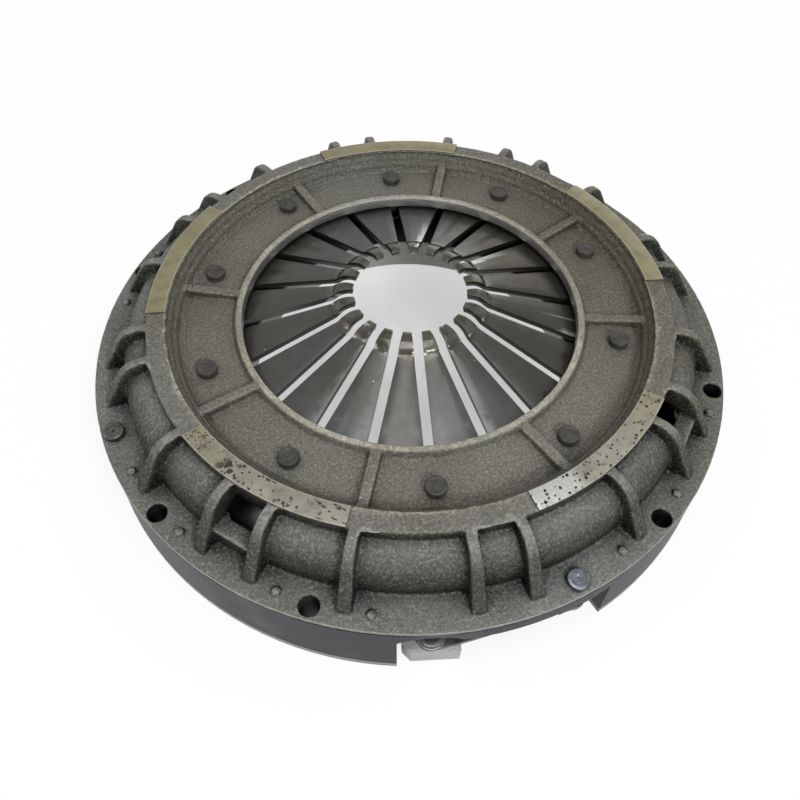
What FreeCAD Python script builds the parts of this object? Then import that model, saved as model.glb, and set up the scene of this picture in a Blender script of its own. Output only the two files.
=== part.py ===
import FreeCAD, Part
import math
import os

# Clutch pressure plate, a push-type diaphragm-spring clutch cover assembly for a truck. Millimetres.
# The origin is on the axis at the face that bolts to the flywheel, and +Z points to the gearbox.
# Angles are in degrees about Z. The part is stored unbolted: the plate hangs on its lower stop.

# Cover casting: sunk annulus round the window, with a lip
window_radius = 126.4
floor_width = 43.6
floor_thickness = 11.2
floor_step = 0.9
lip_rise = 4.7
lip_width = 5.0
lip_slope = 2.5
spring_clearance = 1.5

# Cover casting: ring above the annulus, with its machined pads
ring_wall_run = 9.5
ring_width = 14.0
ring_thickness = 13.0
ring_web = 4.0
slanted_wall = 4.0
floor_drop = 15.0
pad_rise = 1.2
pad_count = 5
pad_first_angle = 9.0
pad_half_angle = 18.75

# Cover casting: barrel-shaped wall from the ring down to the flange
barrel_set_in = 1.0
barrel_lift = 4.0
barrel_radius = 23.5
barrel_wall = 8.0
barrel_foot_fillet = 1.5
ring_step = 8.5

# Cover casting: flange and skirt
flange_top = 56.0
flange_width = 24.0
flange_thickness = 12.0
skirt_wall = 21.0
skirt_flare = 3.5
relief_drop = 4.0
relief_depth = 0.8
edge_break = 1.2
cut_past = 1.0
foot_chamfer = 0.5
foot_band = 4.2
corner_count = 4
corner_angle = 45.0
bolt_edge = 8.5
bolt_spread = 15.0
bolt_hole_radius = 6.5
pip_edge = 10.0
pip_spreads = (9.5, 24.4)
pip_radius = 3.0
pip_height = 1.8

# Cover casting: openings in the skirt, each with a boss for one end of a strap pack
gap_roof_thickness = 14.5
gap_half_angle = 16.9
arch_drop = 7.2
arch_radius = 30.0
arch_half_width = 22.0
strap_edge = 9.5
strap_spread = 11.5
strap_boss_drop = 5.5
strap_boss_half_angle = 3.6

# Cover casting: ribs
outer_rib_spreads = (4.8, 20.2, 40.4)
outer_rib_level = 4.5
outer_rib_crest_radius = 21.3
outer_rib_edge = 8.4
outer_rib_tuck = 2.1
outer_rib_foot_height = 1.5
outer_rib_half_width = 3.6
inner_rib_angles = (20.9, 65.3, 110.0, 160.3)
inner_rib_half_width = 3.8
inner_rib_start_drop = 0.8
inner_rib_rise = 3.0
rib_draft = 2.0
rib_rounding = 1.6
rib_bury = 1.8

# Cover casting: recess behind the ring at each corner, with an oval window down through its ledge
recess_tuck = 0.5
oval_set_out = 7.0
oval_half_length = 13.0
oval_half_width = 6.5
ledge_reach = 2.7
ledge_rise = 15.0
ledge_half_width = 15.0

# Fulcrum: two wire rings round a circle of sleeves, held by shouldered rivets
rivet_count = 10
rivet_first_angle = 9.0
rivet_set_back = 30.2
rivet_shank_radius = 4.5
rivet_head_radius = 7.2
rivet_head_height = 5.5
rivet_foot_height = 4.0
rivet_foot_overhang = 2.2
rivet_mark_radius = 1.6
rivet_mark_depth = 0.5
sleeve_wall = 1.5
hole_clearance = 0.15
wire_radius = 3.5
groove_depth = 1.4
seat_gap = 0.3
fulcrum_gap = 0.6

# Diaphragm spring, as one sector for each of its fingers
finger_count = 20
spring_angle = 16.6
spring_thickness = 4.2
spring_edge_gap = 10.0
slot_width = 7.2
keyhole_clearance = 2.5
seam_width = 0.55
bend_start = 60.2
rise_bend_radius = 10.0
rise_angle = 45.0
crown_radius = 14.0
crown_end_angle = -15.0

# Pressure plate casting
plate_stand = 2.0
plate_thickness = 28.0
plate_bore = 128.0
plate_gap = 4.0
plate_chamfer = 1.5
ridge_set_in = 3.5
ridge_crest_radius = 4.0
ridge_base_half_width = 7.5
ridge_gap_width = 14.0
ridge_gap_count = 10
ridge_gap_first_angle = 27.0
lug_overhang = 0.5
lug_half_width = 18.5
lug_lift = 1.0
lug_chamfer = 5.5
lug_root = 10.0
counterbore_clearance = 1.5
counterbore_depth = 5.0

# Strap packs and their rivets
leaf_count = 4
leaf_thickness = 0.95
leaf_pitch = 1.0
leaf_half_width = 10.0
strap_flat = 13.0
strap_drop = 10.0
strap_hole_clearance = 0.1
strap_rivet_radius = 4.5
strap_head_radius = 7.0
strap_head_height = 3.4
strap_foot_radius = 8.0
strap_foot_height = 2.8
plate_head_radius = 8.2
washer_radius = 10.0
washer_thickness = 1.2

# Radii of the cover, from the window outwards
floor_outer = window_radius + floor_width
ring_inner = floor_outer + ring_wall_run
ring_outer = ring_inner + ring_width
barrel_centre_radius = ring_outer - barrel_set_in
barrel_foot = barrel_centre_radius + barrel_radius
flange_radius = barrel_foot + flange_width
skirt_foot_radius = flange_radius + skirt_flare
skirt_bore = flange_radius - skirt_wall
bolt_circle = flange_radius - bolt_edge
pip_circle = flange_radius - pip_edge
strap_circle = flange_radius - strap_edge
outer_rib_foot = flange_radius - outer_rib_edge
ledge_radius = barrel_foot + ledge_reach
oval_radius = ring_outer + oval_set_out

# Heights of the cover, from the flange upwards
barrel_centre_height = flange_top + barrel_lift
ring_top = barrel_centre_height + barrel_radius + ring_step
floor_top = ring_top - floor_drop
floor_under = floor_top - floor_thickness
lip_top = floor_top + lip_rise
ledge_top = flange_top + ledge_rise
gap_roof = flange_top - gap_roof_thickness
arch_top = flange_top - arch_drop
strap_seat = gap_roof - strap_boss_drop

# Fulcrum and spring, hung from the underside of the annulus
rivet_circle = window_radius + rivet_set_back
sleeve_radius = rivet_shank_radius + sleeve_wall
keyhole_radius = sleeve_radius + keyhole_clearance
pivot_radius = rivet_circle + sleeve_radius + seat_gap + wire_radius
rivet_foot_radius = sleeve_radius + seat_gap + wire_radius + rivet_foot_overhang
wire_height = floor_under + groove_depth - seat_gap - wire_radius
slope = math.tan(math.radians(spring_angle))
lean = math.cos(math.radians(spring_angle))
wire_offset = (wire_radius + fulcrum_gap + spring_thickness / 2) / lean
pivot_height = wire_height - wire_offset
lower_wire_height = pivot_height - wire_offset
rivet_foot_top = lower_wire_height - wire_radius - seat_gap
sector_angle = 360.0 / finger_count
spring_outer = barrel_foot - barrel_wall - spring_edge_gap

# Pressure plate and its lugs, under the spring and the straps
plate_back = plate_stand + plate_thickness
plate_radius = skirt_bore - plate_gap
ridge_radius = spring_outer - ridge_set_in
ridge_offset = (ridge_crest_radius + seat_gap + spring_thickness / 2) / lean
ridge_height = pivot_height - (ridge_radius - pivot_radius) * slope - ridge_offset
lug_radius = flange_radius + lug_overhang
lug_bottom = plate_stand + lug_lift
lug_top = strap_seat - leaf_count * leaf_pitch - strap_drop
strap_hole_radius = strap_rivet_radius + strap_hole_clearance
counterbore_radius = strap_foot_radius + counterbore_clearance

axis = FreeCAD.Vector(0, 0, 1)
centre = FreeCAD.Vector(0, 0, 0)


def at(radius, height):
    """A point of a section in the X-Z plane."""
    return FreeCAD.Vector(radius, 0, height)


def on_circle(radius, height, size, degrees):
    """The point of a section's circle at an angle from the outward direction."""
    turn = math.radians(degrees)
    return at(radius + size * math.cos(turn), height + size * math.sin(turn))


def line(first, last):
    """A straight edge."""
    return Part.LineSegment(first, last).toShape()


def arc(first, middle, last):
    """An edge along a circle through three points."""
    return Part.Arc(first, middle, last).toShape()


def closed(edges):
    """The face inside a closed run of edges, given in any order."""
    return Part.Face(Part.Wire(Part.sortEdges(edges)[0]))


def section(start, moves):
    """A closed face: each move is the next corner, or an arc as its middle and its end."""
    edges = []
    here = start
    for move in moves + [start]:
        if isinstance(move, tuple):
            middle, end = move
            edges.append(arc(here, middle, end))
        else:
            end = move
            edges.append(line(here, end))
        here = end
    return closed(edges)


def turned(face, first=0.0, sweep=360.0):
    """A section revolved about the axis from one angle through a sweep."""
    solid = face.revolve(centre, axis, sweep)
    solid.rotate(centre, axis, first)
    return solid


def bar(profile, half_width):
    """A section given thickness across its plane, half to each side."""
    solid = profile.extrude(FreeCAD.Vector(0, 2 * half_width, 0))
    solid.translate(FreeCAD.Vector(0, -half_width, 0))
    return solid


def placed(solid, degrees):
    """A copy turned to an angle about the axis."""
    copy = solid.copy()
    copy.rotate(centre, axis, degrees)
    return copy


def post(radius, degrees, size, bottom, top):
    """An upright cylinder at a radius and an angle."""
    solid = Part.makeCylinder(size, top - bottom, at(radius, bottom))
    solid.rotate(centre, axis, degrees)
    return solid


def block(inner, outer, half_width, bottom, top):
    """A box along +X, centred on that axis."""
    corner = FreeCAD.Vector(inner, -half_width, bottom)
    return Part.makeBox(outer - inner, 2 * half_width, top - bottom, corner)


def evenly(count, first=0.0):
    """Evenly spaced angles round the axis."""
    return [first + 360.0 * index / count for index in range(count)]


def corners(spreads):
    """Angles to both sides of each corner of the cover."""
    return [middle + side * spread
            for middle in evenly(corner_count, corner_angle)
            for spread in spreads
            for side in (-1, 1)]


def gaps(offset=0.0):
    """The angle of each skirt opening, with an offset."""
    return evenly(corner_count, offset)


def drafted(profile, half_width, base, crest):
    """A rib from its side profile, wider towards its base by the casting draft."""
    spread = half_width + (crest - base) * math.tan(math.radians(rib_draft))
    box = profile.BoundBox
    wedge = Part.Face(Part.makePolygon([
        FreeCAD.Vector(box.XMin - cut_past, -spread, base),
        FreeCAD.Vector(box.XMin - cut_past, spread, base),
        FreeCAD.Vector(box.XMin - cut_past, half_width, crest),
        FreeCAD.Vector(box.XMin - cut_past, -half_width, crest),
        FreeCAD.Vector(box.XMin - cut_past, -spread, base)]))
    return bar(profile, spread).common(wedge.extrude(FreeCAD.Vector(box.XLength + 2 * cut_past, 0, 0)))


def cover_body():
    """The turned form of the cover: window, annulus, ring, barrel wall, flange and skirt."""
    middle, height = barrel_centre_radius, barrel_centre_height
    barrel_inside = barrel_radius - barrel_wall
    start_angle = math.degrees(math.acos((ring_outer - middle) / barrel_radius))
    fillet_height = flange_top + barrel_foot_fillet
    fillet_reach = barrel_foot + barrel_foot_fillet
    window_under = (pivot_height + (pivot_radius - window_radius) * slope
                    + spring_thickness / (2 * lean) + spring_clearance)
    relief_end = window_radius + (window_under - floor_under) / slope
    relief = flange_top - relief_drop
    under_ring = ring_top - ring_thickness
    face = section(at(window_radius, window_under), [
        at(window_radius, lip_top - edge_break / 2),
        at(window_radius + edge_break / 2, lip_top),
        at(window_radius + lip_width, lip_top),
        at(window_radius + lip_width + lip_slope, floor_top),
        at(floor_outer, floor_top),
        at(floor_outer + floor_step, floor_top + floor_step),
        at(ring_inner, ring_top - edge_break),
        at(ring_inner + edge_break, ring_top),
        at(ring_outer - edge_break, ring_top),
        at(ring_outer, ring_top - edge_break),
        on_circle(middle, height, barrel_radius, start_angle),
        (on_circle(middle, height, barrel_radius, start_angle / 2), at(barrel_foot, height)),
        at(barrel_foot, fillet_height),
        (on_circle(fillet_reach, fillet_height, barrel_foot_fillet, 225), at(fillet_reach, flange_top)),
        at(flange_radius - edge_break, flange_top),
        at(flange_radius, flange_top - edge_break),
        at(flange_radius, relief + relief_depth),
        at(flange_radius - relief_depth, relief),
        at(flange_radius, relief - relief_depth),
        at(skirt_foot_radius - foot_chamfer, foot_band),
        at(skirt_foot_radius, foot_band - foot_chamfer),
        at(skirt_foot_radius, foot_chamfer),
        at(skirt_foot_radius - foot_chamfer, 0),
        at(skirt_bore + edge_break, 0),
        at(skirt_bore, edge_break),
        at(skirt_bore, flange_top - flange_thickness),
        at(middle + barrel_inside, height - barrel_wall),
        at(middle + barrel_inside, height),
        (on_circle(middle, height, barrel_inside, 45), at(middle, height + barrel_inside)),
        at(middle - ring_web, under_ring),
        at(ring_inner + slanted_wall, under_ring),
        at(floor_outer + slanted_wall, floor_under),
        at(relief_end, floor_under)])
    return turned(face)


def outer_rib():
    """One rib over the barrel wall: level with the ring, then curved down to the flange."""
    middle_wall = barrel_radius - barrel_wall / 2
    crest_start = ring_outer + outer_rib_level
    crest_height = ring_top - outer_rib_crest_radius
    foot_height = flange_top + outer_rib_foot_height
    drop = crest_height - foot_height
    run = outer_rib_foot - crest_start
    tangent = math.degrees(math.acos(outer_rib_crest_radius / math.hypot(run, drop)) - math.atan2(drop, run))
    root = ring_outer - barrel_wall / 2
    buried = flange_top - barrel_wall / 2
    profile = section(at(root, ring_top), [
        at(crest_start, ring_top),
        (on_circle(crest_start, crest_height, outer_rib_crest_radius, (90 + tangent) / 2),
         on_circle(crest_start, crest_height, outer_rib_crest_radius, tangent)),
        at(outer_rib_foot, foot_height),
        at(outer_rib_foot - outer_rib_tuck, buried),
        at(barrel_centre_radius + middle_wall, buried),
        at(barrel_centre_radius + middle_wall, barrel_centre_height),
        (on_circle(barrel_centre_radius, barrel_centre_height, middle_wall, 45),
         at(barrel_centre_radius, barrel_centre_height + middle_wall)),
        at(root, ring_top - ring_thickness / 2)])
    rib = drafted(profile, outer_rib_half_width, buried, ring_top)
    crests = []
    for edge in rib.Edges:
        spot = edge.CenterOfMass
        reach = math.hypot(spot.x - barrel_centre_radius, spot.z - barrel_centre_height)
        beside_crest = abs(spot.y) > outer_rib_half_width / 2 and spot.z > foot_height
        if beside_crest and reach > barrel_radius + cut_past:
            crests.append(edge)
    return rib.makeFillet(rib_rounding, crests)


def inner_rib():
    """One rib across the sunk annulus, from the lip up to the ring."""
    start = window_radius + lip_width / 2
    end = (floor_outer + ring_inner + slanted_wall) / 2
    low = floor_top - rib_bury
    crest = lip_top - inner_rib_start_drop
    profile = section(at(start, low), [
        at(start, crest),
        at(end, crest + inner_rib_rise),
        at(end, low)])
    rib = drafted(profile, inner_rib_half_width, low, crest + inner_rib_rise)
    tops = [edge for edge in rib.Edges
            if edge.CenterOfMass.z > crest and edge.BoundBox.XLength > lip_width]
    return rib.makeFillet(rib_rounding, tops)


def pad():
    """One machined pad on the ring."""
    face = section(at(ring_inner, ring_top - edge_break * 2), [
        at(ring_inner, ring_top + pad_rise),
        at(ring_outer, ring_top + pad_rise),
        at(ring_outer, ring_top - edge_break * 2)])
    return turned(face, -pad_half_angle, 2 * pad_half_angle)


def ledge():
    """The flat step under an oval window, between its two ribs."""
    buried = flange_top - barrel_wall / 2
    return block(barrel_foot - barrel_wall, ledge_radius, ledge_half_width, buried, ledge_top)


def recess():
    """The tool that cuts the barrel wall straight down behind the ring, between the two ribs of a corner."""
    half_angle = outer_rib_spreads[0] - recess_tuck
    return turned(section(at(ring_outer, ledge_top), [
        at(ledge_radius + cut_past, ledge_top),
        at(ledge_radius + cut_past, ring_top),
        at(ring_outer, ring_top)]), -half_angle, 2 * half_angle)


def oval():
    """The tool that cuts an oval window down through the ledge."""
    straight = oval_half_length - oval_half_width
    bottom = barrel_centre_height
    top = ledge_top + cut_past
    tool = block(-oval_half_width, oval_half_width, straight, bottom, top)
    tool = tool.fuse([Part.makeCylinder(oval_half_width, top - bottom, FreeCAD.Vector(0, side, bottom))
                      for side in (-straight, straight)])
    tool = tool.removeSplitter()
    tool.translate(at(oval_radius, 0))
    return tool


def skirt_gap():
    """The tool that opens the skirt at a strap pack: arched over the plate's lug, and round the strap's boss."""
    inside = skirt_bore - cut_past
    outside = skirt_foot_radius + cut_past
    crown = Part.makeCylinder(arch_radius, outside - inside, at(inside, arch_top - arch_radius),
                              FreeCAD.Vector(1, 0, 0))
    crown = crown.fuse(block(inside, outside, arch_radius, -cut_past, arch_top - arch_radius))
    arch = crown.common(block(inside, outside, arch_half_width, -cut_past, arch_top))
    roof = turned(section(at(inside, -cut_past), [
        at(outside, -cut_past),
        at(outside, gap_roof),
        at(inside, gap_roof)]), -strap_spread, strap_spread + gap_half_angle)
    boss = turned(section(at(skirt_bore, strap_seat), [
        at(flange_radius, strap_seat),
        at(flange_radius, gap_roof + cut_past),
        at(skirt_bore, gap_roof + cut_past)]), strap_spread - strap_boss_half_angle,
        2 * strap_boss_half_angle)
    return roof.cut(boss).fuse(placed(arch, -strap_spread))


def cover():
    """The whole cover casting."""
    body = cover_body().cut([placed(recess(), angle) for angle in evenly(corner_count, corner_angle)])
    rib = outer_rib()
    added = [placed(rib, angle) for angle in corners(outer_rib_spreads)]
    rib = inner_rib()
    added += [placed(rib, angle + half) for angle in inner_rib_angles for half in (0, 180)]
    added += [placed(pad(), angle) for angle in evenly(pad_count, pad_first_angle)]
    added += [placed(ledge(), angle) for angle in evenly(corner_count, corner_angle)]
    added += [post(pip_circle, angle, pip_radius, flange_top - cut_past, flange_top + pip_height)
              for angle in corners(pip_spreads)]
    body = body.fuse(added)
    tools = [placed(oval(), angle) for angle in evenly(corner_count, corner_angle)]
    tools += [placed(skirt_gap(), angle) for angle in gaps()]
    tools += [post(bolt_circle, angle, bolt_hole_radius, -cut_past, flange_top + cut_past)
              for angle in corners((bolt_spread,))]
    tools += [post(strap_circle, angle, strap_hole_radius, strap_seat - cut_past, flange_top + cut_past)
              for angle in gaps(strap_spread)]
    tools += [post(rivet_circle, angle, rivet_shank_radius + hole_clearance,
                   floor_under - cut_past, floor_top + cut_past)
              for angle in evenly(rivet_count, rivet_first_angle)]
    groove = Part.makeTorus(pivot_radius, wire_radius + seat_gap, at(0, wire_height))
    tools.append(groove)
    return body.cut(tools)


def wire_ring(height):
    """One fulcrum ring of round wire."""
    return Part.makeTorus(pivot_radius, wire_radius, at(0, height))


def fulcrum_rivet():
    """One shouldered rivet: wide foot, shank through sleeve and cover, formed head with a mark."""
    foot_bottom = rivet_foot_top - rivet_foot_height
    head_top = floor_top + rivet_head_height
    profile = section(at(0, foot_bottom), [
        at(rivet_foot_radius - edge_break, foot_bottom),
        at(rivet_foot_radius, foot_bottom + edge_break),
        at(rivet_foot_radius, rivet_foot_top),
        at(rivet_shank_radius, rivet_foot_top),
        at(rivet_shank_radius, floor_top),
        at(rivet_head_radius, floor_top),
        at(rivet_head_radius, head_top - edge_break / 2),
        at(rivet_head_radius - edge_break / 2, head_top),
        at(rivet_mark_radius, head_top),
        at(0, head_top - rivet_mark_depth)])
    solid = turned(profile)
    solid.translate(at(rivet_circle, 0))
    return solid


def sleeve():
    """One spacer sleeve between a rivet's foot and the cover."""
    height = floor_under - rivet_foot_top
    solid = Part.makeCylinder(sleeve_radius, height, at(rivet_circle, rivet_foot_top))
    return solid.cut(Part.makeCylinder(rivet_shank_radius + hole_clearance, height,
                                       at(rivet_circle, rivet_foot_top)))


def beside(point, heading, offset):
    """The point at an offset square to a heading in the X-Z plane."""
    return point + FreeCAD.Vector(-math.sin(heading), 0, math.cos(heading)) * offset


def strip(start, heading, moves, thickness):
    """A bent strip's section: each move is a straight length, or a bend's radius and its turn."""
    sides = (thickness / 2, -thickness / 2)
    edges = [line(*[beside(start, heading, side) for side in sides])]
    here = start
    for move in moves:
        if isinstance(move, tuple):
            radius, turn = move
            hub_side = math.copysign(radius, turn)
            hub = beside(here, heading, hub_side)
            headings = [heading + math.radians(turn) * share for share in (0, 0.5, 1)]
            for side in sides:
                edges.append(arc(*[beside(hub, angle, side - hub_side) for angle in headings]))
            heading = headings[-1]
            here = beside(hub, heading, -hub_side)
        else:
            end = here + FreeCAD.Vector(math.cos(heading), 0, math.sin(heading)) * move
            for side in sides:
                edges.append(line(beside(here, heading, side), beside(end, heading, side)))
            here = end
    edges.append(line(*[beside(here, heading, side) for side in sides]))
    return closed(edges)


def spring_finger():
    """One sector of the diaphragm spring: its share of the coned ring, and the finger."""
    outer_height = pivot_height - (spring_outer - pivot_radius) * slope
    cone_length = (spring_outer - bend_start) / lean
    heading = math.radians(180 - spring_angle)
    face = strip(at(spring_outer, outer_height), heading, [
        cone_length,
        (rise_bend_radius, spring_angle - rise_angle),
        (crown_radius, rise_angle - crown_end_angle)], spring_thickness)
    finger = turned(face, -sector_angle / 2, sector_angle)
    high = 2 * ring_top
    side_tool = block(0, spring_outer + cut_past, seam_width / 2, 0, high)
    side_tool = side_tool.fuse([
        block(0, rivet_circle, slot_width / 2, 0, high),
        Part.makeCylinder(keyhole_radius, high, at(rivet_circle, 0))])
    return finger.cut([placed(side_tool, -sector_angle / 2), placed(side_tool, sector_angle / 2)])


def pressure_plate():
    """The plate casting: friction ring, interrupted fulcrum ridge, and four lugs for the straps."""
    face = section(at(plate_bore, plate_stand + plate_chamfer), [
        at(plate_bore + plate_chamfer, plate_stand),
        at(plate_radius - plate_chamfer, plate_stand),
        at(plate_radius, plate_stand + plate_chamfer),
        at(plate_radius, plate_back - plate_chamfer),
        at(plate_radius - plate_chamfer, plate_back),
        at(ridge_radius + ridge_base_half_width, plate_back),
        at(ridge_radius + ridge_crest_radius, ridge_height),
        (at(ridge_radius, ridge_height + ridge_crest_radius),
         at(ridge_radius - ridge_crest_radius, ridge_height)),
        at(ridge_radius - ridge_base_half_width, plate_back),
        at(plate_bore + plate_chamfer, plate_back),
        at(plate_bore, plate_back - plate_chamfer)])
    body = turned(face)
    lug = block(plate_radius - lug_root, lug_radius, lug_half_width, lug_bottom, lug_top)
    outer_corner = [edge for edge in lug.Edges
                    if edge.BoundBox.ZLength > lug_chamfer
                    and edge.CenterOfMass.x > plate_radius and edge.CenterOfMass.y < 0]
    lug = lug.makeChamfer(lug_chamfer, outer_corner)
    body = body.fuse([placed(lug, angle) for angle in gaps(-strap_spread)])
    slot = block(ridge_radius - ridge_base_half_width * 2, ridge_radius + ridge_base_half_width * 2,
                 ridge_gap_width / 2, plate_back, ridge_height + 2 * ridge_crest_radius)
    tools = [placed(slot, angle) for angle in evenly(ridge_gap_count, ridge_gap_first_angle)]
    for angle in gaps(-strap_spread):
        tools.append(post(strap_circle, angle, strap_hole_radius, lug_bottom - cut_past, lug_top + cut_past))
        tools.append(post(strap_circle, angle, counterbore_radius,
                          lug_bottom - cut_past, lug_bottom + counterbore_depth))
    return body.cut(tools)


def strap_leaf(level):
    """One leaf of a strap pack: flat at both rivets, with a double curve between them."""
    span = 2 * strap_circle * math.sin(math.radians(strap_spread))
    end = span / 2 + leaf_half_width
    bend = span / 2 - strap_flat
    high = strap_seat - (level + 1) * leaf_pitch
    low = high - strap_drop
    turn = 2 * math.atan(strap_drop / (2 * bend))
    radius = bend / math.sin(turn)
    reach = radius * math.sin(turn / 2)
    dip = radius * (1 - math.cos(turn / 2))
    middle = at(0, (high + low) / 2)
    under = [line(at(end, high), at(bend, high)),
             arc(at(bend, high), at(bend - reach, high - dip), middle),
             arc(middle, at(reach - bend, low + dip), at(-bend, low)),
             line(at(-bend, low), at(-end, low))]
    over = [edge.copy() for edge in under]
    for edge in over:
        edge.translate(at(0, leaf_thickness))
    ends = [line(at(end, high), at(end, high + leaf_thickness)),
            line(at(-end, low), at(-end, low + leaf_thickness))]
    ribbon = bar(closed(under + over + ends), leaf_half_width)
    rivets = [at(side * span / 2, lug_bottom) for side in (-1, 1)]
    height = flange_top - lug_bottom
    plan = block(-span / 2, span / 2, leaf_half_width, lug_bottom, flange_top)
    plan = plan.fuse([Part.makeCylinder(leaf_half_width, height, rivet) for rivet in rivets])
    leaf = ribbon.common(plan)
    leaf = leaf.cut([Part.makeCylinder(strap_hole_radius, height, rivet) for rivet in rivets])
    leaf.rotate(centre, axis, 90)
    leaf.translate(at(strap_circle * math.cos(math.radians(strap_spread)), 0))
    return leaf


def strap_rivet(foot, head_bottom, head_radius, head_height):
    """One strap rivet: formed foot below, head with a ring mark on top."""
    profile = section(at(0, foot - strap_foot_height), [
        at(strap_foot_radius - edge_break, foot - strap_foot_height),
        at(strap_foot_radius, foot - strap_foot_height + edge_break),
        at(strap_foot_radius, foot),
        at(strap_rivet_radius, foot),
        at(strap_rivet_radius, head_bottom),
        at(head_radius, head_bottom),
        at(head_radius, head_bottom + head_height - edge_break),
        at(head_radius - edge_break, head_bottom + head_height),
        at(rivet_mark_radius, head_bottom + head_height),
        at(0, head_bottom + head_height - rivet_mark_depth)])
    solid = turned(profile)
    solid.translate(at(strap_circle, 0))
    return solid


def washer(bottom):
    """One washer on a strap rivet."""
    solid = Part.makeCylinder(washer_radius, washer_thickness, at(strap_circle, bottom))
    return solid.cut(Part.makeCylinder(strap_hole_radius, washer_thickness, at(strap_circle, bottom)))


def group(solid, angles):
    """Separate copies of one solid at several angles."""
    return Part.makeCompound([placed(solid, angle) for angle in angles])


def write(name, shape):
    """Save one piece, or one group of like pieces, as a file of its own."""
    shape.exportStep("parts/" + name + ".step")


os.makedirs("parts", exist_ok=True)

write("cover", cover())
write("upper_wire_ring", wire_ring(wire_height))
write("lower_wire_ring", wire_ring(lower_wire_height))
write("fulcrum_rivets", group(fulcrum_rivet(), evenly(rivet_count, rivet_first_angle)))
write("fulcrum_sleeves", group(sleeve(), evenly(rivet_count, rivet_first_angle)))
write("pressure_plate", pressure_plate())

finger = spring_finger()
for number, angle in enumerate(evenly(finger_count), start=1):
    write("spring_finger_%02d" % number, placed(finger, angle))

pack = Part.makeCompound([strap_leaf(level) for level in range(leaf_count)])
for number, angle in enumerate(gaps(), start=1):
    write("strap_pack_%d" % number, placed(pack, angle))

pack_under = strap_seat - leaf_count * leaf_pitch
cover_rivet = strap_rivet(pack_under - washer_thickness, flange_top, strap_head_radius, strap_head_height)
write("cover_strap_rivets", group(cover_rivet, gaps(strap_spread)))
write("cover_strap_washers", group(washer(pack_under - washer_thickness), gaps(strap_spread)))
pack_top = lug_top + leaf_count * leaf_pitch
plate_rivet = strap_rivet(lug_bottom + counterbore_depth, pack_top + washer_thickness,
                          plate_head_radius, strap_foot_height)
write("plate_strap_rivets", group(plate_rivet, gaps(-strap_spread)))
write("plate_strap_washers", group(washer(pack_top), gaps(-strap_spread)))
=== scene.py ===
import bpy
import math
from mathutils import Matrix, Vector


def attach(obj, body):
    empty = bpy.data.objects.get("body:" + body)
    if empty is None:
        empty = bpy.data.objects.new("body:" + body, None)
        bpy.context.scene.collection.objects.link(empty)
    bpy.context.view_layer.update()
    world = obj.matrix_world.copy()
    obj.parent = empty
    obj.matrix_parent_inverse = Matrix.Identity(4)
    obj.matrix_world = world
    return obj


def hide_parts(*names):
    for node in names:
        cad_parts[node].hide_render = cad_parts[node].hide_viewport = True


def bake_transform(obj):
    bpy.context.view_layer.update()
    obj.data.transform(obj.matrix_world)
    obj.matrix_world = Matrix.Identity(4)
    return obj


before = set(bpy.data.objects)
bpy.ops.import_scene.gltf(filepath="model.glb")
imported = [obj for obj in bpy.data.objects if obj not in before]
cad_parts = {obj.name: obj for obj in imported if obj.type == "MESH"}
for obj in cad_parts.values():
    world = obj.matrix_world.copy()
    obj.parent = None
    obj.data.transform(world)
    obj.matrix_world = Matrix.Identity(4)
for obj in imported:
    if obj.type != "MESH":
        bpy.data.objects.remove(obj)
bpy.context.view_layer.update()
bpy.ops.object.select_all(action="DESELECT")


# The view: the part lies on a white sheet and is seen from the front and above.
# A small window lights it from the front, with soft light from overhead and from the room behind.
MM = 0.001
lens_position = Vector((-0.10005, -0.34660, 0.45610))
lens_target = Vector((-0.03008, -0.08583, 0.08250))
lens_length = 30.53
lens_roll = 0.592
sensor_width = 36
part_middle = Vector((0, 0, 50 * MM))
room_light = 0.14
sheet_size = 8.0
sheet_drop = 0.2 * MM
glow_from = (20 * MM, 0.33)
glow_to = (300 * MM, 0.97)

bpy.ops.object.camera_add(location=lens_position)
camera = bpy.context.object
sight = (lens_target - lens_position).to_track_quat("-Z", "Y")
camera.rotation_euler = (sight.to_matrix() @ Matrix.Rotation(math.radians(lens_roll), 3, "Z")).to_euler()
camera.data.sensor_width = sensor_width
camera.data.lens = lens_length
camera.data.clip_start = 0.01
bpy.context.scene.camera = camera


def lamp(name, place, size, power, tint=(1, 1, 1)):
    """A soft square lamp that faces the middle of the part."""
    bpy.ops.object.light_add(type="AREA", location=place)
    light = bpy.context.object
    light.name = name
    light.data.size = size
    light.data.energy = power
    light.data.color = tint
    light.rotation_euler = (part_middle - Vector(place)).to_track_quat("-Z", "Y").to_euler()


lamp("overhead", (-0.05, -0.30, 1.35), 0.8, 7.4)
lamp("window", (0.22, -1.10, 0.90), 0.30, 10.5, (0.98, 0.99, 1.0))
lamp("room", (-1.3, 0.1, 0.50), 0.9, 3.2, (1.0, 0.97, 0.92))
lamp("door", (0.8, 1.2, 0.50), 1.0, 3.6, (1.0, 0.97, 0.92))


def shader(name):
    """A new material: its node tree, its shader and the output that reads the piece's own coordinates."""
    material = bpy.data.materials.new(name)
    material.use_nodes = True
    tree = material.node_tree
    place = tree.nodes.new("ShaderNodeTexCoord")
    return material, tree, tree.nodes["Principled BSDF"], place.outputs["Object"]


def add(tree, kind, **settings):
    """A node with its settings and constant inputs given by name."""
    node = tree.nodes.new("ShaderNode" + kind)
    for key, value in settings.items():
        if key in node.bl_rna.properties:
            setattr(node, key, value)
        else:
            node.inputs[key].default_value = value
    return node


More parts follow.
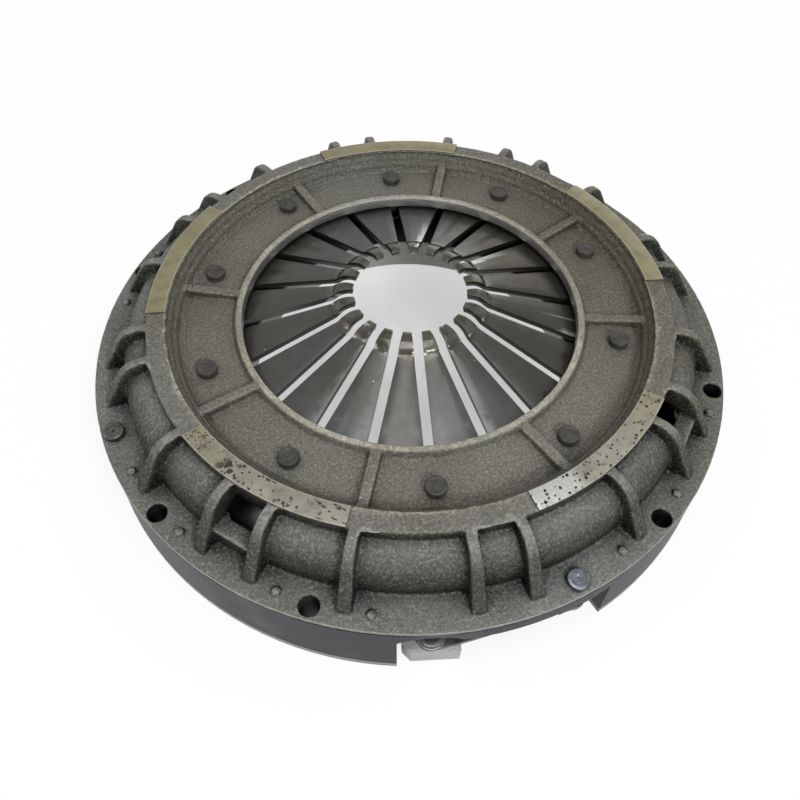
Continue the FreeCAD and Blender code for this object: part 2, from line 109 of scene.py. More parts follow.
def seen_rays(tree):
    """One for what the camera sees, also in a mirror or through glass, and zero for light that bounces."""
    rays = add(tree, "LightPath")
    share = rays.outputs["Is Camera Ray"]
    for kind in ("Is Glossy Ray", "Is Transmission Ray"):
        both = add(tree, "Math", operation="MAXIMUM")
        tree.links.new(share, both.inputs[0])
        tree.links.new(rays.outputs[kind], both.inputs[1])
        share = both.outputs[0]
    return share


world = bpy.data.worlds.new("white_room")
bpy.context.scene.world = world
world.use_nodes = True
tree = world.node_tree
sky = tree.nodes["Background"]
sky.inputs["Color"].default_value = (1, 1, 1, 1)
level = add(tree, "MapRange")
level.inputs["To Min"].default_value = room_light
level.inputs["To Max"].default_value = 1.0
tree.links.new(seen_rays(tree), level.inputs["Value"])
tree.links.new(level.outputs["Result"], sky.inputs["Strength"])

bpy.ops.mesh.primitive_plane_add(size=sheet_size, location=(0, 0, -sheet_drop))
sheet = bpy.context.object
sheet.name = "white_sheet"
paper, tree, surface, place = shader("white_paper")
surface.inputs["Base Color"].default_value = (0.34, 0.34, 0.34, 1)
surface.inputs["Roughness"].default_value = 0.9
lit = add(tree, "BsdfDiffuse", Color=(0.95, 0.95, 0.95, 1))
glow = add(tree, "Emission", Color=(1, 1, 1, 1))
white = add(tree, "MixShader")
shown = add(tree, "MixShader")
away = add(tree, "VectorMath", operation="LENGTH")
tree.links.new(place, away.inputs[0])
share = add(tree, "MapRange")
share.inputs["From Min"].default_value, share.inputs["To Min"].default_value = glow_from
share.inputs["From Max"].default_value, share.inputs["To Max"].default_value = glow_to
tree.links.new(away.outputs["Value"], share.inputs["Value"])
tree.links.new(share.outputs["Result"], white.inputs["Fac"])
tree.links.new(lit.outputs[0], white.inputs[1])
tree.links.new(glow.outputs[0], white.inputs[2])
tree.links.new(seen_rays(tree), shown.inputs["Fac"])
tree.links.new(surface.outputs[0], shown.inputs[1])
tree.links.new(white.outputs[0], shown.inputs[2])
tree.links.new(shown.outputs[0], tree.nodes["Material Output"].inputs["Surface"])
sheet.data.materials.append(paper)
bpy.context.scene.view_settings.view_transform = "Standard"


# The cover casting: one piece of grey iron, left rough from the sand on its upper side and wiped with oil.
# Its window is bored, and the edge of its flange is turned. The sharp model is softened as a casting is.
def join(tree, source, target):
    """A wire between two sockets."""
    tree.links.new(source, target)


def noise(tree, place, scale, detail=2.0, rough=0.5):
    """A cloud pattern, with its scale in waves per metre."""
    node = add(tree, "TexNoise", Scale=scale, Detail=detail, Roughness=rough)
    join(tree, place, node.inputs["Vector"])
    return node.outputs["Fac"]


def ramp(tree, source, *stops):
    """A colour ramp: each stop is a position and a colour or a grey."""
    node = tree.nodes.new("ShaderNodeValToRGB")
    while len(node.color_ramp.elements) < len(stops):
        node.color_ramp.elements.new(0.5)
    for element, (position, colour) in zip(node.color_ramp.elements, stops):
        element.position = position
        if not isinstance(colour, tuple):
            colour = (colour, colour, colour)
        element.color = (*colour, 1)
    join(tree, source, node.inputs["Fac"])
    return node.outputs["Color"]


def mix(tree, share, first, second, kind="MIX"):
    """Two colours mixed by a share, each a socket or a constant."""
    node = tree.nodes.new("ShaderNodeMix")
    node.data_type = "RGBA"
    node.blend_type = kind
    for socket, value in ((node.inputs["Factor"], share), (node.inputs[6], first), (node.inputs[7], second)):
        if isinstance(value, bpy.types.NodeSocket):
            join(tree, value, socket)
        elif isinstance(value, tuple):
            socket.default_value = (*value, 1)
        else:
            socket.default_value = value
    return node.outputs[2]


def maths(tree, operation, first, second):
    """A sum on one or two sockets."""
    node = add(tree, "Math", operation=operation)
    for socket, value in zip(node.inputs, (first, second)):
        if isinstance(value, bpy.types.NodeSocket):
            join(tree, value, socket)
        else:
            socket.default_value = value
    return node.outputs[0]


def between(tree, source, first, second):
    """Zero at the first value, one at the second, and smooth between them."""
    node = add(tree, "MapRange", interpolation_type="SMOOTHSTEP")
    node.inputs["From Min"].default_value = first
    node.inputs["From Max"].default_value = second
    join(tree, source, node.inputs["Value"])
    return node.outputs["Result"]


def part_of(tree, place, which):
    """One of the coordinates, or the radius from the part's axis."""
    if which == "radius":
        flat = add(tree, "VectorMath", operation="MULTIPLY")
        flat.inputs[1].default_value = (1, 1, 0)
        join(tree, place, flat.inputs[0])
        length = add(tree, "VectorMath", operation="LENGTH")
        join(tree, flat.outputs["Vector"], length.inputs[0])
        return length.outputs["Value"]
    split = add(tree, "SeparateXYZ")
    join(tree, place, split.inputs[0])
    return split.outputs[which]


def bump(tree, height, distance, strength=1.0, under=None):
    """A bump of a real height, over another bump if there is one."""
    node = add(tree, "Bump", Distance=distance, Strength=strength)
    join(tree, height, node.inputs["Height"])
    if under is not None:
        join(tree, under, node.inputs["Normal"])
    return node.outputs["Normal"]


window_radius = 126.4 * MM
lip_radius = 131.4 * MM
flange_radius = 240.0 * MM
bore_skin = (window_radius + 0.9 * MM, window_radius + 0.3 * MM)
edge_skin = (flange_radius - 0.9 * MM, flange_radius - 0.4 * MM)
lip_edge = (lip_radius, lip_radius - 1.5 * MM)
brown_to_grey = (176 * MM, 204 * MM)
warm_shade_side = (20 * MM, 200 * MM)
ring_start = (178 * MM, 184 * MM)
inside_flange = (224 * MM, 220 * MM)
steps_from = (165.5 * MM, 168.5 * MM)
steps_to = (178.5 * MM, 175.5 * MM)
step_pitch = 3.2 * MM
barrel_from = (193.5 * MM, 196 * MM)
barrel_to = (217.5 * MM, 212.5 * MM)
streaks_round = 260.0
streaks_out = 45.0
hollow_reach = 30 * MM
weld = 0.002 * MM

sand_iron, tree, surface, place = shader("sand_cast_iron")
radius = part_of(tree, place, "radius")
inner = ramp(tree, noise(tree, place, 9, 5, 0.6),
             (0.30, (0.146, 0.132, 0.099)), (0.50, (0.182, 0.173, 0.142)), (0.72, (0.204, 0.200, 0.174)))
outer = ramp(tree, noise(tree, place, 12, 5, 0.6),
             (0.30, (0.136, 0.132, 0.113)), (0.55, (0.176, 0.175, 0.162)), (0.75, (0.212, 0.213, 0.204)))
tone = mix(tree, between(tree, radius, *brown_to_grey), inner, outer)
# Towards the right the iron is painted darker and browner: painted shade with a warm tint.
right_warm_shade = between(tree, part_of(tree, place, "X"), *warm_shade_side)
tone = mix(tree, right_warm_shade, tone, mix(tree, 1.0, tone, (0.80, 0.77, 0.70), "MULTIPLY"))
speck = ramp(tree, noise(tree, place, 560, 4, 0.85),
             (0.32, 0.26), (0.47, 0.87), (0.56, 1.1), (0.68, 2.6))
tone = mix(tree, 0.60, tone, speck, "MULTIPLY")
skin = add(tree, "NewGeometry")
facing = part_of(tree, skin.outputs["Normal"], "Z")
outside = maths(tree, "ADD", maths(tree, "MULTIPLY", between(tree, radius, *ring_start), 0.5), 0.5)
# Faces that turn away from upwards are painted darker, to a quarter when vertical: painted shade, at half
# strength on the sunk annulus inside the ring.
painted_slope_shade = ramp(tree, facing, (0.0, (0.25, 0.25, 0.21)), (0.50, (0.34, 0.34, 0.29)),
             (0.80, (0.70, 0.70, 0.65)), (0.95, 1.0))
tone = mix(tree, outside, tone, painted_slope_shade, "MULTIPLY")
# Creases, pockets and holes are painted dark by their ambient occlusion: painted shade, at half strength on
# the sunk annulus.
crevice = add(tree, "AmbientOcclusion", samples=8, Distance=hollow_reach)
painted_crevice_shade = ramp(tree, crevice.outputs["AO"], (0.30, 0.03), (0.52, 0.22), (0.72, 0.68), (0.86, 1.0))
tone = mix(tree, outside, tone, painted_crevice_shade, "MULTIPLY")
# Sharp edges are painted lighter, partly as wear and partly as painted highlight, and creases darker as
# painted shade; on the flange at 0.3 of that.
wear_highlight_shade = ramp(tree, skin.outputs["Pointiness"], (0.42, 0.20), (0.485, 0.9), (0.515, 1.0), (0.56, 2.3))
worn_highlit_shaded = mix(tree, 1.0, tone, wear_highlight_shade, "MULTIPLY")
tone = mix(tree, between(tree, radius, *inside_flange), mix(tree, 0.3, tone, worn_highlit_shaded), worn_highlit_shaded)
lip = maths(tree, "MULTIPLY", between(tree, radius, *lip_edge), between(tree, facing, 0.3, 0.8))
tone = mix(tree, lip, tone, mix(tree, 1.0, tone, (1.75, 1.75, 1.75), "MULTIPLY"))
turned = maths(tree, "MAXIMUM", between(tree, radius, *bore_skin), between(tree, radius, *edge_skin))
join(tree, mix(tree, turned, tone, (0.30, 0.295, 0.275)), surface.inputs["Base Color"])
join(tree, maths(tree, "MULTIPLY", turned, 0.85), surface.inputs["Metallic"])
glints = ramp(tree, noise(tree, place, 520, 3, 0.8), (0.50, 0.08), (0.62, 1.0))
join(tree, glints, surface.inputs["Specular IOR Level"])
gloss = ramp(tree, noise(tree, place, 380, 3), (0.3, 0.26), (0.55, 0.50), (0.7, 0.70))
join(tree, mix(tree, turned, gloss, (0.32, 0.32, 0.32)), surface.inputs["Roughness"])
grain = bump(tree, noise(tree, place, 760, 3, 0.75), 0.9 * MM, 1.0)
lumps = bump(tree, noise(tree, place, 210, 2), 1.0 * MM, 0.5, grain)
wave = maths(tree, "SINE", maths(tree, "MULTIPLY", radius, 2 * math.pi / step_pitch), 0)
steps = add(tree, "Bump", Distance=0.7 * MM)
beside_ring = maths(tree, "MULTIPLY", between(tree, radius, *steps_from), between(tree, radius, *steps_to))
join(tree, maths(tree, "MULTIPLY", beside_ring, 0.5), steps.inputs["Strength"])
join(tree, wave, steps.inputs["Height"])
join(tree, lumps, steps.inputs["Normal"])
angle = maths(tree, "ARCTAN2", part_of(tree, place, "Y"), part_of(tree, place, "X"))
strokes = add(tree, "CombineXYZ")
join(tree, maths(tree, "MULTIPLY", angle, streaks_round), strokes.inputs["X"])
join(tree, maths(tree, "MULTIPLY", radius, streaks_out), strokes.inputs["Y"])
brushed = noise(tree, strokes.outputs[0], 1.0, 2)
wall = maths(tree, "MULTIPLY", between(tree, radius, *barrel_from), between(tree, radius, *barrel_to))
streak = add(tree, "Bump", Distance=0.8 * MM)
join(tree, maths(tree, "MULTIPLY", wall, 0.55), streak.inputs["Strength"])
join(tree, brushed, streak.inputs["Height"])
join(tree, steps.outputs["Normal"], streak.inputs["Normal"])
join(tree, streak.outputs["Normal"], surface.inputs["Normal"])


def copied(node, name):
    """A new piece that starts as a copy of a CAD piece with its triangles merged."""
    piece = node.copy()
    piece.data = node.data.copy()
    piece.name = name
    piece.data.name = name
    for key in list(piece.keys()):
        del piece[key]
    piece.parent = None
    bpy.context.scene.collection.objects.link(piece)
    bpy.ops.object.select_all(action="DESELECT")
    piece.select_set(True)
    bpy.context.view_layer.objects.active = piece
    bpy.ops.object.mode_set(mode="EDIT")
    bpy.ops.mesh.select_all(action="SELECT")
    bpy.ops.mesh.remove_doubles(threshold=weld)
    bpy.ops.object.mode_set(mode="OBJECT")
    bpy.ops.mesh.customdata_custom_splitnormals_clear()
    return piece


def sliced(place, normal, close=True, drop=True):
    """Cuts the piece in hand by a plane, and drops what is on the normal's side."""
    bpy.ops.object.mode_set(mode="EDIT")
    bpy.ops.mesh.select_all(action="SELECT")
    bpy.ops.mesh.bisect(plane_co=place, plane_no=normal, use_fill=close, clear_outer=drop)
    bpy.ops.object.mode_set(mode="OBJECT")


def modified(kind, **settings):
    """Gives the piece in hand a modifier and applies it."""
    modifier = bpy.context.object.modifiers.new(kind.lower(), kind)
    for key, value in settings.items():
        setattr(modifier, key, value)
    bpy.ops.object.modifier_apply(modifier=modifier.name)


def finished(piece, material, body):
    """Gives a piece its one material and its body."""
    piece.data.materials.clear()
    piece.data.materials.append(material)
    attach(piece, body)


ring_top = 92.0 * MM
shaving = 0.02 * MM
flange_under = 52.0 * MM
sand_grid = 0.85 * MM
sand_lumps = 0.35 * MM
lump_size = 5 * MM
kept_share = 0.145
cover_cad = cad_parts["cover"]

casting = copied(cover_cad, "cover_casting")
sliced((0, 0, ring_top - shaving), (0, 0, 1))
sliced((0, 0, flange_under), (0, 0, -1))
modified("REMESH", mode="VOXEL", voxel_size=sand_grid)
modified("SMOOTH", factor=0.5, iterations=2)
clouds = bpy.data.textures.new("sand_lumps", "CLOUDS")
clouds.noise_scale = lump_size
clouds.noise_depth = 2
modified("DISPLACE", texture=clouds, texture_coords="LOCAL", strength=sand_lumps, mid_level=0.5)
modified("DECIMATE", ratio=kept_share)
bpy.ops.object.shade_smooth()
finished(casting, sand_iron, "cover")


# The skirt: the lower part of the same casting, turned on a lathe down to the face that meets the flywheel.
# It is dark grey under oil, with fine rings from the tool and a lighter strip along its foot.
foot_band = (4.6 * MM, 4.1 * MM)
shade_reach = 20 * MM
soft_angle = math.radians(30)

turned_iron, tree, surface, place = shader("turned_iron")
height = part_of(tree, place, "Z")
tool = add(tree, "Mapping", vector_type="POINT")
tool.inputs["Scale"].default_value = (4, 4, 900)
join(tree, place, tool.inputs["Vector"])
rings = noise(tree, tool.outputs[0], 1.0, 3)
smear = noise(tree, place, 18, 4)
tone = ramp(tree, smear,
            (0.34, (0.024, 0.025, 0.028)), (0.50, (0.045, 0.046, 0.050)), (0.66, (0.118, 0.120, 0.125)))
tone = mix(tree, 0.5, tone, ramp(tree, rings, (0.3, 0.7), (0.7, 1.3)), "MULTIPLY")
foot = between(tree, height, *foot_band)
tone = mix(tree, foot, tone, (0.34, 0.345, 0.35))
shade = add(tree, "AmbientOcclusion", samples=8, Distance=shade_reach)
dimmed = ramp(tree, shade.outputs["AO"], (0.1, 0.1), (0.8, 1.0))
join(tree, mix(tree, 1.0, tone, dimmed, "MULTIPLY"), surface.inputs["Base Color"])
surface.inputs["Metallic"].default_value = 0.15
surface.inputs["Specular IOR Level"].default_value = 0.1
join(tree, ramp(tree, smear, (0.3, 0.36), (0.7, 0.55)), surface.inputs["Roughness"])
join(tree, bump(tree, rings, 0.1 * MM, 0.5), surface.inputs["Normal"])

skirt = copied(cover_cad, "turned_skirt")
sliced((0, 0, flange_under), (0, 0, 1))
bpy.ops.object.shade_smooth_by_angle(angle=soft_angle)
finished(skirt, turned_iron, "cover")
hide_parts("cover")


# The pads: five lands on the ring, milled flat and then lacquered khaki against rust.
# The lacquer is chipped, and pits of the casting show through as dark specks.
pad_height = 93.2 * MM
pad_root = 90.6 * MM
ring_inner = 179.5 * MM
ring_outer = 193.5 * MM
pad_count = 5
pad_first = 9.0
pad_sweep = 37.5
pad_steps = 40
pad_bevel = 0.35 * MM
pad_top = (pad_height - 0.6 * MM, pad_height - 0.3 * MM)
outer_rim = (ring_outer - 1.0 * MM, ring_outer - 0.5 * MM)
inner_rim = (ring_inner + 1.0 * MM, ring_inner + 0.5 * MM)
front_side = (30 * MM, 150 * MM)
far_right = (85 * MM, 135 * MM)
streak_angle = math.radians(-40)
bare_spot = (33, -184, 34)
full_share = 0.6


def close_to(tree, place, x, y, reach):
    """One at a place on the pads, in millimetres, and zero beyond its reach."""
    away = add(tree, "VectorMath", operation="DISTANCE")
    join(tree, place, away.inputs[0])
    away.inputs[1].default_value = (x * MM, y * MM, pad_height)
    return between(tree, away.outputs["Value"], reach * MM, reach * full_share * MM)


def pits(tree, place, scale, share, size, where, stretch=None):
    """Torn dark pits: cells per metre, the share of cells that have one, a size in cells and a mask."""
    if stretch is not None:
        drawn = add(tree, "Mapping", vector_type="TEXTURE")
        drawn.inputs["Scale"].default_value = stretch
        drawn.inputs["Rotation"].default_value = (0, 0, streak_angle)
        join(tree, place, drawn.inputs["Vector"])
        place = drawn.outputs["Vector"]
    cells = add(tree, "TexVoronoi", Scale=scale, Randomness=1.0)
    tear = 0.9 / scale
    torn = add(tree, "VectorMath", operation="MULTIPLY_ADD")
    torn.inputs[1].default_value = (tear, tear, 0.0)
    ragged = add(tree, "TexNoise", Scale=scale * 3.0)
    join(tree, place, ragged.inputs["Vector"])
    join(tree, ragged.outputs["Color"], torn.inputs[0])
    join(tree, place, torn.inputs[2])
    join(tree, torn.outputs["Vector"], cells.inputs["Vector"])
    chance = part_of(tree, cells.outputs["Color"], "X")
    chosen = between(tree, chance, 1.0 - share, 1.04 - share)
    reach = maths(tree, "MULTIPLY", part_of(tree, cells.outputs["Color"], "Y"), size)
    found = between(tree, maths(tree, "SUBTRACT", reach, cells.outputs["Distance"]), 0.0, 0.05)
    return maths(tree, "MULTIPLY", maths(tree, "MULTIPLY", found, chosen), where)


lacquer, tree, surface, place = shader("khaki_lacquer")
near = between(tree, maths(tree, "MULTIPLY", part_of(tree, place, "Y"), -1.0), *front_side)
khaki_end = between(tree, part_of(tree, place, "X"), *far_right)
pale_share = maths(tree, "SUBTRACT", near, maths(tree, "MULTIPLY", khaki_end, 0.7))
tone = ramp(tree, noise(tree, place, 35, 4), (0.3, (0.215, 0.190, 0.100)), (0.7, (0.262, 0.236, 0.135)))
pale = ramp(tree, noise(tree, place, 60, 3), (0.3, (0.24, 0.228, 0.182)), (0.7, (0.325, 0.31, 0.26)))
tone = mix(tree, pale_share, tone, pale)
stain = ramp(tree, noise(tree, place, 95, 5, 0.65), (0.34, 0.72), (0.50, 1.0), (0.68, 1.14))
tone = mix(tree, 0.8, tone, stain, "MULTIPLY")
bare = close_to(tree, place, *bare_spot)
tone = mix(tree, maths(tree, "MULTIPLY", bare, 0.8), tone, (0.46, 0.46, 0.44))
left_pad = close_to(tree, place, -128, -131, 42)
left_start = close_to(tree, place, -163, -88, 17)
left_end = close_to(tree, place, -92, -162, 17)
right_pad = maths(tree, "MAXIMUM", close_to(tree, place, 60, -176, 62), close_to(tree, place, 118, -143, 40))
spots = (pits(tree, place, 900, 0.55, 0.75, left_start),
         pits(tree, place, 190, 0.50, 0.74, left_pad),
         pits(tree, place, 420, 0.36, 0.68, left_pad),
         pits(tree, place, 600, 0.62, 0.60, left_end, (2.4, 0.8, 1)),
         pits(tree, place, 430, 0.50, 0.62, right_pad),
         pits(tree, place, 260, 0.14, 0.5, near))
pit = spots[0]
for spot in spots[1:]:
    pit = maths(tree, "MAXIMUM", pit, spot)
top = between(tree, part_of(tree, place, "Z"), *pad_top)
tone = mix(tree, pit, tone, (0.016, 0.015, 0.012))
radius = part_of(tree, place, "radius")
rim = maths(tree, "MAXIMUM", between(tree, radius, *outer_rim), between(tree, radius, *inner_rim))
tone = mix(tree, maths(tree, "MULTIPLY", rim, 0.7), tone, (0.42, 0.40, 0.32))
# Below the milled top the pad's sides are painted near black: painted shadow under the pad's edge.
join(tree, mix(tree, top, (0.045, 0.042, 0.034), tone), surface.inputs["Base Color"])
join(tree, maths(tree, "MULTIPLY", bare, 0.55), surface.inputs["Metallic"])
surface.inputs["Specular IOR Level"].default_value = 0.4
join(tree, ramp(tree, noise(tree, place, 200, 2), (0.3, 0.34), (0.7, 0.52)), surface.inputs["Roughness"])
dents = add(tree, "Bump", Distance=0.6 * MM)
join(tree, maths(tree, "MULTIPLY", bare, 0.8), dents.inputs["Strength"])
join(tree, noise(tree, place, 380, 2), dents.inputs["Height"])
sunk = maths(tree, "MULTIPLY", pit, -1.0)
join(tree, bump(tree, sunk, 0.4 * MM, 0.7, dents.outputs["Normal"]), surface.inputs["Normal"])

for number in range(pad_count):
    bpy.ops.object.select_all(action="DESELECT")
    bpy.ops.mesh.primitive_plane_add(size=1, location=(0, 0, 0))
    pad = bpy.context.object
    pad.name = "lacquered_pad_%d" % (number + 1)
    bpy.ops.object.mode_set(mode="EDIT")
    bpy.ops.transform.resize(value=(ring_outer - ring_inner, pad_height - pad_root, 1))
    bpy.ops.transform.rotate(value=math.radians(-90), orient_axis="X", center_override=(0, 0, 0))
    bpy.ops.transform.translate(value=((ring_outer + ring_inner) / 2, 0, (pad_height + pad_root) / 2))
    bpy.ops.mesh.spin(steps=pad_steps, angle=-math.radians(pad_sweep), center=(0, 0, 0), axis=(0, 0, 1))
    bpy.ops.mesh.select_all(action="SELECT")
    bpy.ops.mesh.normals_make_consistent(inside=False)
    turn = math.radians(pad_first - pad_sweep / 2 + number * 360 / pad_count)
    bpy.ops.object.mode_set(mode="OBJECT")
    modified("BEVEL", width=pad_bevel, segments=2, limit_method="ANGLE")
    pad.rotation_euler = (0, 0, turn)
    bpy.ops.object.transform_apply(location=True, rotation=True, scale=True)
    bpy.ops.object.shade_smooth_by_angle(angle=soft_angle)
    finished(pad, lacquer, "cover")


# The fulcrum rivets: ten steel rivets, blackened and headed over the sunk annulus with a ring and a dimple.
# Below the cover they pass through blackened sleeves, which hold the two rings of drawn steel wire.
head_sides = 40
head_angle = math.radians(28)
fulcrum_circle = 156.6
fulcrum_first = 9
fulcrum_count = 10
fulcrum_foot = 77.4
fulcrum_profile = ((0.5, 82.0), (0.9, 82.4), (1.4, 82.4), (1.8, 82.05), (4.6, 82.0), (5.1, 82.3),
                   (5.5, 82.5), (6.4, 82.5), (6.9, 82.35), (7.2, 81.9), (7.2, 77.3))


def dressed(node, material):
    """A CAD piece keeps its shape and gets its finish."""
    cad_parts[node].data.materials.clear()
    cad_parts[node].data.materials.append(material)


def headed(node, name, material, foot, profile, places):
    """A group of rivets with its plain heads cut off at the foot and ringed ones set there instead.

    The profile lists radius and height, the places circle and angle, in millimetres and degrees.
    """
    bpy.ops.object.select_all(action="DESELECT")
    radius, height = profile[0]
    bpy.ops.mesh.primitive_circle_add(vertices=head_sides, radius=radius * MM, fill_type="NGON",
                                      location=(0, 0, height * MM))
    head = bpy.context.object
    head.name = name + "_head"
    bpy.ops.object.mode_set(mode="EDIT")
    bpy.ops.mesh.select_mode(type="EDGE")
    bpy.ops.mesh.select_all(action="SELECT")
    bpy.ops.mesh.region_to_loop()
    for next_radius, next_height in profile[1:]:
        step = (0, 0, (next_height - height) * MM)
        bpy.ops.mesh.extrude_region_move(TRANSFORM_OT_translate={"value": step})
        grow = next_radius / radius
        bpy.ops.transform.resize(value=(grow, grow, 1), center_override=(0, 0, 0))
        radius, height = next_radius, next_height
    bpy.ops.mesh.select_all(action="SELECT")
    bpy.ops.mesh.normals_make_consistent(inside=False)
    bpy.ops.mesh.select_mode(type="VERT")
    bpy.ops.object.mode_set(mode="OBJECT")
    heads = [head]
    for _ in places[1:]:
        bpy.ops.object.duplicate()
        heads.append(bpy.context.object)
    for head, (circle, angle) in zip(heads, places):
        turn = math.radians(angle)
        head.location += Vector((circle * math.cos(turn), circle * math.sin(turn), 0)) * MM
    group = copied(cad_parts[node], name)
    sliced((0, 0, foot * MM), (0, 0, 1))
    for head in heads:
        head.select_set(True)
    bpy.ops.object.join()
    bpy.ops.object.shade_smooth_by_angle(angle=head_angle)
    finished(group, material, "cover")
    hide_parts(node)


black_steel, tree, surface, place = shader("blackened_steel")
tone = ramp(tree, noise(tree, place, 160, 4), (0.3, (0.034, 0.031, 0.027)), (0.7, (0.066, 0.062, 0.055)))
# Sharp edges are painted lighter, partly as wear and partly as painted highlight.
edge = add(tree, "NewGeometry").outputs["Pointiness"]
worn_and_highlit = between(tree, edge, 0.55, 0.65)
join(tree, mix(tree, worn_and_highlit, tone, (0.14, 0.135, 0.12)), surface.inputs["Base Color"])
surface.inputs["Metallic"].default_value = 0.1
surface.inputs["Specular IOR Level"].default_value = 0.3
join(tree, ramp(tree, noise(tree, place, 300, 2), (0.3, 0.30), (0.7, 0.48)), surface.inputs["Roughness"])
join(tree, bump(tree, noise(tree, place, 700, 2), 0.2 * MM, 0.6), surface.inputs["Normal"])
fulcrum_places = [(fulcrum_circle, fulcrum_first + number * 360 / fulcrum_count)
                  for number in range(fulcrum_count)]
headed("fulcrum_rivets", "fulcrum_rivet_heads", black_steel,
       fulcrum_foot, fulcrum_profile, fulcrum_places)
dressed("fulcrum_sleeves", black_steel)

drawn_wire, tree, surface, place = shader("drawn_wire")
tone = ramp(tree, noise(tree, place, 90, 3), (0.3, (0.16, 0.16, 0.155)), (0.7, (0.26, 0.26, 0.25)))
join(tree, tone, surface.inputs["Base Color"])
surface.inputs["Metallic"].default_value = 0.9
join(tree, ramp(tree, noise(tree, place, 400, 2), (0.3, 0.28), (0.7, 0.42)), surface.inputs["Roughness"])
dressed("upper_wire_ring", drawn_wire)
dressed("lower_wire_ring", drawn_wire)


# The spring fingers: one disc of spring steel, slotted, pressed to a cone and hardened, with its tips bent
# up and over. It is phosphated and oiled, a satin blue-grey, browner at the heated tips, and painted darker
# and browner to the right as painted shade.
finger_count = 20
finger_bevel = 0.45 * MM
flat_angle = math.radians(0.3)
edge_angle = math.radians(40)
tip_end = 66.0 * MM
tip_colour = (tip_end, tip_end - 8 * MM)
tip_gloss = (tip_end, tip_end - 6 * MM)
finger_shade_side = (20 * MM, 90 * MM)
chip_cells = 95.0

spring_steel, tree, surface, place = shader("oiled_spring_steel")
radius = part_of(tree, place, "radius")
tone = ramp(tree, noise(tree, place, 9, 4, 0.55),
            (0.30, (0.058, 0.055, 0.047)), (0.50, (0.072, 0.073, 0.069)), (0.70, (0.088, 0.095, 0.096)))
stain = ramp(tree, noise(tree, place, 130, 4, 0.6), (0.35, 0.92), (0.65, 1.06))
tone = mix(tree, 0.8, tone, stain, "MULTIPLY")
# Towards the right the steel is painted darker and browner: painted shade with a warm tint.
finger_right_shade = between(tree, part_of(tree, place, "X"), *finger_shade_side)
tone = mix(tree, finger_right_shade, tone, mix(tree, 1.0, tone, (0.66, 0.60, 0.52), "MULTIPLY"))
heated = ramp(tree, noise(tree, place, 150, 3), (0.3, (0.050, 0.044, 0.032)), (0.7, (0.110, 0.106, 0.094)))
tone = mix(tree, between(tree, radius, *tip_colour), tone, heated)
edge = add(tree, "NewGeometry").outputs["Pointiness"]
# Sharp edges are painted light: painted highlight.
tone = mix(tree, between(tree, edge, 0.53, 0.60), tone, (0.34, 0.345, 0.34))
chips = add(tree, "TexVoronoi", Scale=chip_cells)
join(tree, place, chips.inputs["Vector"])
chipped = between(tree, noise(tree, place, 30, 1), 0.55, 0.62)
chip = maths(tree, "MULTIPLY", between(tree, chips.outputs["Distance"], 0.045, 0.03), chipped)
join(tree, mix(tree, chip, tone, (0.5, 0.52, 0.52)), surface.inputs["Base Color"])
surface.inputs["Metallic"].default_value = 0.8
dry = ramp(tree, noise(tree, place, 45, 3), (0.3, 0.27), (0.7, 0.38))
gloss = mix(tree, between(tree, radius, *tip_gloss), dry, (0.17, 0.17, 0.17))
join(tree, gloss, surface.inputs["Roughness"])
join(tree, bump(tree, noise(tree, place, 500, 2), 0.08 * MM, 0.5), surface.inputs["Normal"])

for number in range(1, finger_count + 1):
    name = "spring_finger_%02d" % number
    finger = copied(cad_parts[name], "finger_%02d" % number)
    bpy.ops.object.mode_set(mode="EDIT")
    bpy.ops.mesh.select_all(action="SELECT")
    bpy.ops.mesh.dissolve_limited(angle_limit=flat_angle)
    bpy.ops.object.mode_set(mode="OBJECT")
    modified("BEVEL", width=finger_bevel, segments=2, limit_method="ANGLE", angle_limit=edge_angle)
    bpy.ops.object.shade_smooth_by_angle(angle=head_angle)
    finished(finger, spring_steel, "finger_%02d" % number)
    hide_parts(name)


# The pressure plate: a heavy ring of grey iron under the spring, with a lug in each skirt opening.
# Its bore and its friction face are turned, and its lugs are milled pale.
milled_lugs = (205 * MM, 214 * MM)
turned_bore = (130 * MM, 128.5 * MM)

plate_iron, tree, surface, place = shader("machined_plate_iron")
radius = part_of(tree, place, "radius")
oiled = ramp(tree, noise(tree, place, 25, 4), (0.3, (0.070, 0.069, 0.062)), (0.7, (0.115, 0.114, 0.105)))
milled = ramp(tree, noise(tree, place, 25, 4), (0.3, (0.37, 0.368, 0.358)), (0.7, (0.47, 0.468, 0.458)))
tone = mix(tree, between(tree, radius, *milled_lugs), oiled, milled)
tone = mix(tree, between(tree, radius, *turned_bore), tone, (0.42, 0.415, 0.39))
speck = ramp(tree, noise(tree, place, 600, 2, 0.7), (0.3, 0.8), (0.7, 1.2))
join(tree, mix(tree, 0.8, tone, speck, "MULTIPLY"), surface.inputs["Base Color"])
surface.inputs["Metallic"].default_value = 0.5
join(tree, ramp(tree, noise(tree, place, 300, 2), (0.3, 0.42), (0.7, 0.60)), surface.inputs["Roughness"])
join(tree, bump(tree, noise(tree, place, 700, 2), 0.15 * MM, 0.5), surface.inputs["Normal"])
dressed("pressure_plate", plate_iron)


# The strap rivets and their washers: one of each at either end of a strap pack.
# Those on the flange are zinc-plated, dished with a ring mark, and dull with age towards the left.
# Those on the plate are blackened, over bright washers.
strap_circle = 230.5
strap_spread = 11.5
strap_count = 4
strap_foot = 56.4
strap_profile = ((0.8, 58.3), (1.1, 59.1), (2.2, 59.15), (2.5, 59.35), (4.0, 59.35), (4.2, 59.05),
                 (4.7, 59.05), (4.9, 59.4), (6.1, 59.4), (6.7, 59.1), (7.0, 58.5), (7.0, 56.3))
bright_side = (-100 * MM, 50 * MM)

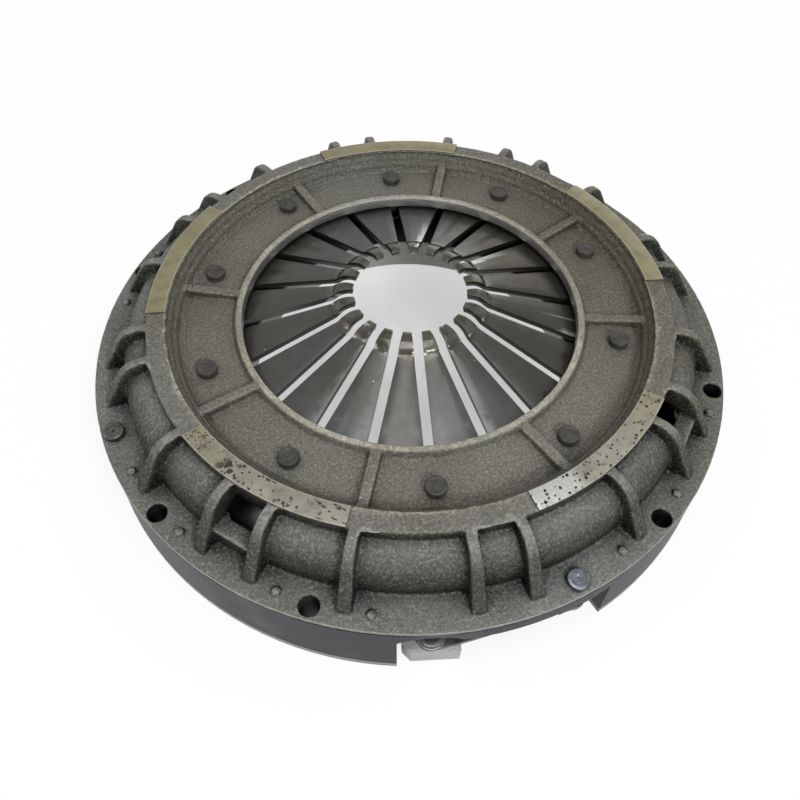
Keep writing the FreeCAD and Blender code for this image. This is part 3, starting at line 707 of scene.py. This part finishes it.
zinc, tree, surface, place = shader("zinc_plate")
right = between(tree, part_of(tree, place, "X"), *bright_side)
dull = ramp(tree, noise(tree, place, 220, 3), (0.3, (0.060, 0.061, 0.055)), (0.7, (0.115, 0.118, 0.110)))
bright = ramp(tree, noise(tree, place, 220, 3), (0.3, (0.10, 0.108, 0.125)), (0.7, (0.18, 0.195, 0.215)))
join(tree, mix(tree, right, dull, bright), surface.inputs["Base Color"])
surface.inputs["Metallic"].default_value = 0.85
join(tree, ramp(tree, noise(tree, place, 350, 2), (0.3, 0.24), (0.7, 0.40)), surface.inputs["Roughness"])
join(tree, bump(tree, noise(tree, place, 600, 2), 0.1 * MM, 0.5), surface.inputs["Normal"])
strap_places = [(strap_circle, strap_spread + number * 360 / strap_count) for number in range(strap_count)]
headed("cover_strap_rivets", "flange_rivet_heads", zinc,
       strap_foot, strap_profile, strap_places)
dressed("cover_strap_washers", zinc)
dressed("plate_strap_rivets", black_steel)

bright_steel, tree, surface, place = shader("bright_washer_steel")
tone = ramp(tree, noise(tree, place, 120, 3), (0.3, (0.62, 0.63, 0.64)), (0.7, (0.80, 0.81, 0.82)))
join(tree, tone, surface.inputs["Base Color"])
surface.inputs["Metallic"].default_value = 0.9
join(tree, ramp(tree, noise(tree, place, 300, 2), (0.3, 0.18), (0.7, 0.30)), surface.inputs["Roughness"])
dressed("plate_strap_washers", bright_steel)


# The strap packs: four thin leaves of rolled spring steel each, riveted to the cover at one end and to the
# plate at the other. They bend as the plate lifts; here each is only cut across at even steps between its
# flat ends.
strap_flat = 13.0 * MM
strap_height = 30 * MM
strap_loops = 14

strap_steel, tree, surface, place = shader("rolled_strap_steel")
tone = ramp(tree, noise(tree, place, 60, 4), (0.3, (0.085, 0.085, 0.082)), (0.7, (0.17, 0.17, 0.165)))
join(tree, tone, surface.inputs["Base Color"])
surface.inputs["Metallic"].default_value = 0.85
join(tree, ramp(tree, noise(tree, place, 300, 2), (0.3, 0.30), (0.7, 0.45)), surface.inputs["Roughness"])

half_span = strap_circle * MM * math.sin(math.radians(strap_spread))
out_from_axis = strap_circle * MM * math.cos(math.radians(strap_spread))
bend = half_span - strap_flat
for number in range(1, strap_count + 1):
    turn = Matrix.Rotation(math.radians((number - 1) * 360 / strap_count), 4, "Z")
    along = turn @ Vector((0, 1, 0))
    middle = turn @ Vector((out_from_axis, 0, strap_height))
    name = "strap_pack_%d" % number
    strap = copied(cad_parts[name], "leaf_straps_%d" % number)
    for loop in range(strap_loops + 1):
        sliced(middle + along * bend * (2 * loop / strap_loops - 1), along, close=False, drop=False)
    bpy.ops.object.shade_smooth_by_angle(angle=soft_angle)
    strap.data.materials.clear()
    strap.data.materials.append(strap_steel)
    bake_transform(strap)
    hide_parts(name)

bpy.ops.object.select_all(action="DESELECT")
